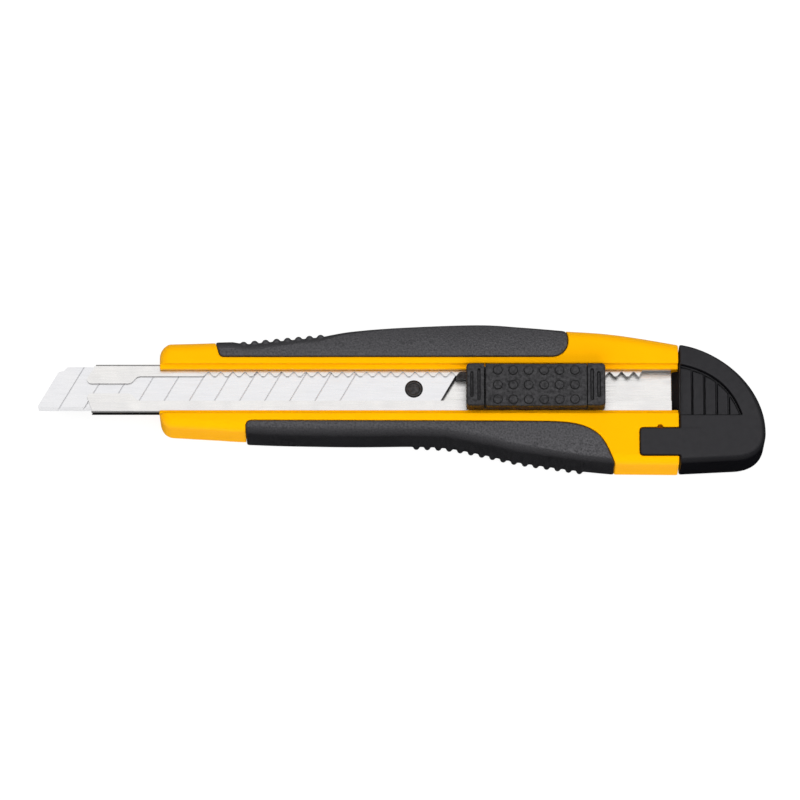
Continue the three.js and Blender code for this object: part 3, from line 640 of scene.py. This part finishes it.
def blade():
    low, high = SLEEVE_Y - BLADE_WIDTH / 2, SLEEVE_Y + BLADE_WIDTH / 2
    tip, floor_z, top_z = BLADE_LOW.x, BLADE_LOW.z, BLADE_HIGH.z

    def front_at(y):
        return tip + (y - low - TIP_BLUNT) * SLANT

    outline = [(tip + 0.25, low), (BLADE_TAIL_X, low), (BLADE_TAIL_X + BLADE_WIDTH * SLANT, high),
               (front_at(high) + 1.2, high), (front_at(high) + 0.5, high - 0.75),
               (front_at(high - 1), high - 1), (tip, low + TIP_BLUNT)]
    groove_half, groove_depth = 0.13, 0.1
    scores = [tip + FIRST_SCORE + i * SEGMENT_PITCH for i in range(SCORE_COUNT)]
    mesh = bmesh.new()
    mesh.faces.new([mesh.verts.new((x, y, 0)) for x, y in outline])

    def split(point, normal):
        bmesh.ops.bisect_plane(mesh, geom=mesh.verts[:] + mesh.edges[:] + mesh.faces[:], dist=1e-5,
                               plane_co=(*point, 0), plane_no=(*normal, 0))

    split((tip, low + BEVEL_WIDTH), (0, 1))
    for x in scores:
        for shift in (-groove_half, 0, groove_half):
            split((x + shift, low), (1, -SLANT))

    def depth(x, y):
        along = x - (y - low) * SLANT
        groove = max(0.0, 1 - min(abs(along - score) for score in scores) / groove_half) * groove_depth
        bevel = max(0.0, 1 - (y - low) / BEVEL_WIDTH) * (top_z - floor_z) / 2
        return groove, bevel

    lower = {}
    for vertex in mesh.verts[:]:
        groove, bevel = depth(vertex.co.x, vertex.co.y)
        lower[vertex] = mesh.verts.new((vertex.co.x, vertex.co.y, floor_z + bevel))
        vertex.co.z = max(top_z - groove - bevel, floor_z + bevel)
    border = [edge for edge in mesh.edges if edge.is_boundary]
    for face in mesh.faces[:]:
        mesh.faces.new([lower[vertex] for vertex in reversed(face.verts)])
    for edge in border:
        a, b = edge.verts
        mesh.faces.new((a, b, lower[b], lower[a]))
    bmesh.ops.remove_doubles(mesh, verts=mesh.verts[:], dist=1e-4)
    strip = finished("snap_blade", mesh)
    carve(strip, extruded("hole", circle(BOSS_X, SLEEVE_Y, BOSS_RADIUS + 0.1), floor_z - 1, top_z + 1))
    return strip


def blade_sleeve():
    front, rear = SLEEVE_LOW.x, SLEEVE_HIGH.x
    floor_z, top_z = SLEEVE_LOW.z, SLEEVE_HIGH.z
    half = SLEEVE_HALF

    def corner(y, z, radius, start):
        angles = [math.radians(start + 90 * i / 6) for i in range(7)]
        return [(y + radius * math.cos(a), z + radius * math.sin(a)) for a in angles]

    def ring(inset, radius):
        edge = half - inset - radius
        low_z, high_z = floor_z + inset + radius, top_z - inset - radius
        found = []
        for side, z, start in ((1, high_z, 0), (1, low_z, 270), (-1, low_z, 180), (-1, high_z, 90)):
            found += corner(SLEEVE_Y + side * edge, z, radius, start)[::-1]
        return found

    outer = [(NOSE_LIP_TOP_Y, top_z), *ring(0, SLEEVE_BEND), (NOSE_LIP_LOW_Y, top_z)]
    under_z = top_z - SHEET
    inner = [(NOSE_LIP_TOP_Y, under_z), *ring(SHEET, SLEEVE_BEND - SHEET), (NOSE_LIP_LOW_Y, under_z)]
    mesh = bmesh.new()
    face = mesh.faces.new([mesh.verts.new((front, y, z)) for y, z in outer + inner[::-1]])
    moved = bmesh.ops.extrude_face_region(mesh, geom=[face])["geom"]
    for vertex in (item for item in moved if isinstance(item, bmesh.types.BMVert)):
        vertex.co.x = rear
    channel = finished("sleeve_channel", mesh)

    start, bend_a, bend_b, end = LIP_BEND_X
    upper = [(start, NOSE_LIP_TOP_Y)] + bezier((start, NOSE_LIP_TOP_Y), (bend_a, NOSE_LIP_TOP_Y),
                                               (bend_b, LIP_TOP_Y), (end, LIP_TOP_Y))
    for i in range(NOTCH_COUNT):
        x = NOTCH_FIRST_X + i * NOTCH_PITCH
        upper += [(x - NOTCH_DEPTH, LIP_TOP_Y), (x - 0.08, LIP_TOP_Y + NOTCH_DEPTH),
                  (x + 0.08, LIP_TOP_Y + NOTCH_DEPTH), (x + NOTCH_DEPTH, LIP_TOP_Y)]
    lower = [(end, LIP_LOW_Y)] + bezier((end, LIP_LOW_Y), (bend_b, LIP_LOW_Y),
                                        (bend_a, NOSE_LIP_LOW_Y), (start, NOSE_LIP_LOW_Y))
    upper += [(LIP_END_X, LIP_TOP_Y), (LIP_END_X + 0.6, LIP_END_Y), (rear + 1, LIP_END_Y)]
    opening = [(start - 0.5, 1.0), *upper, (rear + 1, LIP_LOW_Y), *lower, (start - 0.5, 0)]
    carve(channel, extruded("opening", opening, top_z - 1, top_z + 1))
    round_end = bezier((front, 2.7), (front, 1.9), (front + 0.4, NOSE_LIP_TOP_Y),
                       (front + 1.1, NOSE_LIP_TOP_Y), 8)
    upper_end = [(front - 1, 0.6), (front + 1.3, 0.6), (front + 1.3, 1.59), *round_end[::-1], (front, 2.7),
                 (front + 1.7, 5.2), (front + 2, 6.5), (front - 1, 6.5)]
    lower_end = [(front - 1, 0.55), (front - 1, -6), (front + 1.3, -6), (front + 1.1, -4), (front, -1.1),
                 (front + 0.5, -0.5), (front + 1, -0.44), (front + 1, 0.55)]
    for outline in (upper_end, lower_end):
        carve(channel, extruded("end", outline, floor_z + 1, top_z + 1))
    back_end = [(front - 1, -6), (front + 1.2, -6), (front + 0.9, -3.8), (front + 0.4, -2), (front + 0.4, 3),
                (front + 1.2, 5.2), (front + 1.6, 6.5), (front - 1, 6.5)]
    carve(channel, extruded("back_end", back_end, floor_z - 1, floor_z + 1.5))
    soften(channel, 0.07)
    return channel


# ---------- materials ----------

def new_material(name, color, metallic=0.0, roughness=0.5):
    """A material with its shader, ready for more nodes."""
    material = bpy.data.materials.new(name)
    material.use_nodes = True
    nodes = material.node_tree.nodes
    shader = nodes["Principled BSDF"]
    shader.inputs["Base Color"].default_value = (*color, 1)
    shader.inputs["Metallic"].default_value = metallic
    shader.inputs["Roughness"].default_value = roughness
    return material, nodes, material.node_tree.links, shader


def coordinates(nodes, links, stretch=(1, 1, 1)):
    """Object coordinates in millimetres, stretched along an axis."""
    place = nodes.new("ShaderNodeTexCoord")
    mapping = nodes.new("ShaderNodeMapping")
    mapping.inputs["Scale"].default_value = tuple(s / MM for s in stretch)
    links.new(place.outputs["Object"], mapping.inputs["Vector"])
    return mapping.outputs["Vector"]


def noise(nodes, links, vector, scale, detail=3.0, roughness=0.5):
    texture = nodes.new("ShaderNodeTexNoise")
    texture.inputs["Scale"].default_value = scale
    texture.inputs["Detail"].default_value = detail
    texture.inputs["Roughness"].default_value = roughness
    links.new(vector, texture.inputs["Vector"])
    return texture.outputs["Fac"]


def spread(nodes, links, value, low, high, start=0.3, end=0.7):
    """A noise value mapped to a range."""
    mapped = nodes.new("ShaderNodeMapRange")
    mapped.inputs["From Min"].default_value = start
    mapped.inputs["From Max"].default_value = end
    mapped.inputs["To Min"].default_value = low
    mapped.inputs["To Max"].default_value = high
    links.new(value, mapped.inputs["Value"])
    return mapped.outputs["Result"]


def tint(nodes, links, value, first, second):
    """A colour between two, by a value from 0 to 1."""
    mix = nodes.new("ShaderNodeMix")
    mix.data_type = "RGBA"
    mix.inputs["A"].default_value = (*first, 1)
    mix.inputs["B"].default_value = (*second, 1)
    links.new(value, mix.inputs["Factor"])
    return mix.outputs["Result"]


def bump(nodes, links, shader, height, strength, distance):
    node = nodes.new("ShaderNodeBump")
    node.inputs["Strength"].default_value = strength
    node.inputs["Distance"].default_value = distance * MM
    links.new(height, node.inputs["Height"])
    links.new(node.outputs["Normal"], shader.inputs["Normal"])


def moulded_plastic(name, first, second, rough, mottle, grain, grain_depth, shine,
                    shine_color=(1, 1, 1)):
    """Moulded plastic: slow colour drift, uneven gloss and a fine tool texture.

    rough is the range of roughness, mottle its spots per millimetre, and grain the texture's."""
    material, nodes, links, shader = new_material(name, first)
    vector = coordinates(nodes, links)
    drift = spread(nodes, links, noise(nodes, links, vector, 0.12, 4), 0, 1)
    links.new(tint(nodes, links, drift, first, second), shader.inputs["Base Color"])
    gloss = spread(nodes, links, noise(nodes, links, vector, mottle, 4), rough[0], rough[1])
    links.new(gloss, shader.inputs["Roughness"])
    bump(nodes, links, shader, noise(nodes, links, vector, grain, 2), 0.8, grain_depth)
    shader.inputs["Specular IOR Level"].default_value = shine
    shader.inputs["Specular Tint"].default_value = (*shine_color, 1)
    return material


def sheet_steel(name, first, second, rough, lines, line_depth):
    """Rolled steel: fine lines along its length, uneven gloss and faint marks."""
    material, nodes, links, shader = new_material(name, first, metallic=1.0)
    vector = coordinates(nodes, links)
    along = coordinates(nodes, links, (0.05, 1, 1))
    drift = spread(nodes, links, noise(nodes, links, vector, 0.25, 4), 0, 1)
    links.new(tint(nodes, links, drift, first, second), shader.inputs["Base Color"])
    gloss = spread(nodes, links, noise(nodes, links, along, 4, 4), rough[0], rough[1])
    links.new(gloss, shader.inputs["Roughness"])
    bump(nodes, links, shader, noise(nodes, links, along, lines, 3), 0.4, line_depth)
    return material


yellow = moulded_plastic("yellow_abs", (0.98, 0.45, 0.001), (0.96, 0.43, 0.001), (0.36, 0.46), 0.9,
                         6, 0.015, 0.14, (1.0, 0.6, 0.03))
rubber = moulded_plastic("soft_black", (0.002, 0.002, 0.0028), (0.005, 0.005, 0.006), (0.28, 0.8), 2.8,
                         3.2, 0.16, 0.9, (0.97, 0.95, 1.0))
black = moulded_plastic("satin_black", (0.002, 0.002, 0.003), (0.003, 0.003, 0.004), (0.34, 0.46), 0.9,
                        7, 0.02, 0.47, (0.97, 0.95, 1.0))
slider_black = moulded_plastic("slider_black", (0.002, 0.002, 0.002), (0.005, 0.005, 0.005), (0.24, 0.8),
                               1.6, 3.6, 0.14, 0.5, (0.97, 0.95, 1.0))
steel = sheet_steel("rolled_steel", (0.79, 0.775, 0.76), (0.72, 0.71, 0.705), (0.2, 0.34), 7, 0.02)
ground = sheet_steel("ground_steel", (0.76, 0.76, 0.78), (0.78, 0.775, 0.785), (0.24, 0.34), 9, 0.012)
for soft in (rubber, slider_black):
    soft.node_tree.nodes["Principled BSDF"].inputs["IOR"].default_value = 1.7


# ---------- assembly ----------

def dress(piece, material):
    piece.data.materials.clear()
    piece.data.materials.append(material)


for make, node, body, slot, material in (
    (handle_body, "handle_body", "handle", "yellow_plastic", yellow),
    (upper_grip, "upper_grip", "handle", "soft_grip", rubber),
    (lower_grip, "lower_grip", "handle", "soft_grip", rubber),
    (end_cap, "end_cap", "cap", "black_plastic", black),
    (slider_base, "slider_base", "slider", "black_plastic", slider_black),
    (slider_pad, "slider_pad", "pad", "black_plastic", slider_black),
    (blade_carrier, "blade_carrier", "slider", "black_plastic", slider_black),
    (lock_nose, "lock_nose", "lock", "black_plastic", slider_black),
    (blade_sleeve, "blade_sleeve", "handle", "sleeve_steel", steel),
    (blade, "blade", "slider", "blade_steel", ground),
):
    moulding = make()
    dress(moulding, material)
    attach(moulding, body)
    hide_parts(node)

# The lock's leaf is the CAD node itself: its mesh stays as it is.
for place in frame["nodes"]["lock_spring"].material_slots:
    place.material = steel


# ---------- floor, light and camera ----------

def floor():
    size = 3.0
    corners = np.array([[-size, -size, 0], [size, -size, 0], [size, size, 0], [-size, size, 0]])
    surface = mesh_object("floor", corners, np.array([[0, 1, 2, 3]]))
    material, nodes, links, shader = new_material("white_floor", (0.2, 0.2, 0.2), roughness=0.9)
    shader.inputs["Specular IOR Level"].default_value = 0
    shader.inputs["Emission Color"].default_value = (1, 1, 1, 1)
    shader.inputs["Emission Strength"].default_value = 0.86
    dress(surface, material)
    surface.location.z = -0.0002
    surface.visible_glossy = False


def area_light(name, place, aim, size, power, glossy=True):
    light = bpy.data.lights.new(name, "AREA")
    light.shape = "RECTANGLE"
    light.size, light.size_y = size
    light.energy = power
    lamp = bpy.data.objects.new(name, light)
    bpy.context.scene.collection.objects.link(lamp)
    lamp.location = place
    lamp.rotation_euler = (Vector(aim) - Vector(place)).to_track_quat("-Z", "Y").to_euler()
    lamp.visible_glossy = glossy


def world():
    """A grey studio, dark below and lighter from the horizon up."""
    studio = bpy.data.worlds.new("studio")
    bpy.context.scene.world = studio
    studio.use_nodes = True
    nodes, links = studio.node_tree.nodes, studio.node_tree.links
    place = nodes.new("ShaderNodeTexCoord")
    split = nodes.new("ShaderNodeSeparateXYZ")
    rise = nodes.new("ShaderNodeMapRange")
    rise.inputs["From Min"].default_value = -0.8
    rise.inputs["From Max"].default_value = 0.25
    rise.inputs["To Min"].default_value = 0.0
    rise.inputs["To Max"].default_value = 0.34
    links.new(place.outputs["Generated"], split.inputs["Vector"])
    links.new(split.outputs["Z"], rise.inputs["Value"])
    links.new(rise.outputs["Result"], nodes["Background"].inputs["Strength"])
    nodes["Background"].inputs["Color"].default_value = (1, 1, 1, 1)


def camera():
    elevation = math.radians(75)
    lens, sensor = 300.0, 36.0
    distance = VIEW_WIDTH * lens / sensor
    aim = Vector((-0.26 * MM, (TRACK_MIDDLE_Y - 2.2) * MM, LEDGE_Z * MM))
    data = bpy.data.cameras.new("camera")
    data.lens, data.sensor_width = lens, sensor
    data.clip_start, data.clip_end = 0.05, 10
    eye = bpy.data.objects.new("camera", data)
    bpy.context.scene.collection.objects.link(eye)
    back = Vector((0, -math.cos(elevation), math.sin(elevation)))
    eye.location = aim + back * distance
    eye.rotation_euler = (-back).to_track_quat("-Z", "Y").to_euler()
    bpy.context.scene.camera = eye


floor()
world()
area_light("overhead", (0.3, 0.09, 0.7), (0.3, 0.09, 0), (1.6, 0.78), 3.2)
area_light("top_fill", (0, 0, 1.0), (0, 0, 0), (1.2, 1.0), 4.2, glossy=False)
area_light("front_fill", (0.1, -0.9, 0.55), (0, 0, 0), (1.2, 0.7), 6.5, glossy=False)
camera()
bpy.context.scene.view_settings.view_transform = "Standard"
